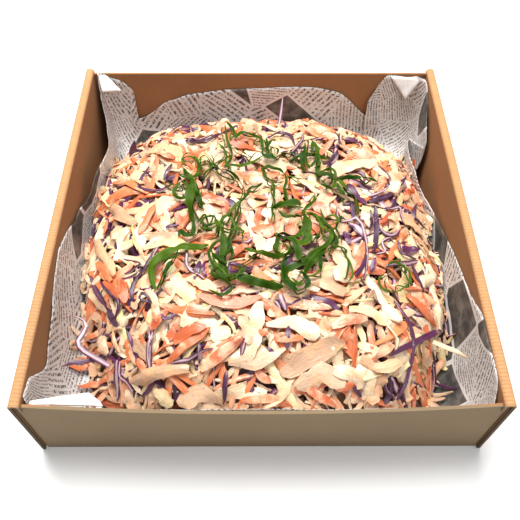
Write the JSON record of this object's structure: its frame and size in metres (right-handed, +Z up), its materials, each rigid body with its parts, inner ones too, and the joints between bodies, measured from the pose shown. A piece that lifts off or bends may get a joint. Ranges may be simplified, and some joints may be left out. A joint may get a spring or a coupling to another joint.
{
  "type": "coleslaw",
  "caption": "Heap of dressed cabbage and carrot coleslaw with spring onion curls in a square open kraft box lined with printed paper.",
  "frame": {"origin": "on the table, under the middle of the box's floor", "axes": "+Z up, +X along the front wall, +Y towards the back wall"},
  "size_m": [0.225, 0.2303, 0.058],
  "materials": {
    "kraft_board": "uncoated brown kraft board, matte",
    "printed_paper": "thin greaseproof paper printed dark grey on off-white, satin",
    "dressed_shreds": "shredded white and red cabbage and carrot with a thin glossy dressing",
    "spring_onion": "fresh green spring onion, satin"
  },
  "bodies": {
    "root": {"box": "kraft_board", "paper_liner": "printed_paper", "coleslaw": "dressed_shreds", "spring_onion_tuft_left": "spring_onion", "spring_onion_tuft_middle": "spring_onion", "spring_onion_tuft_back": "spring_onion", "spring_onion_tuft_right": "spring_onion", "spring_onion_tuft_front": "spring_onion", "spring_onion_strip": "spring_onion", "spring_onion_ring": "spring_onion"}
  },
  "joints": []
}
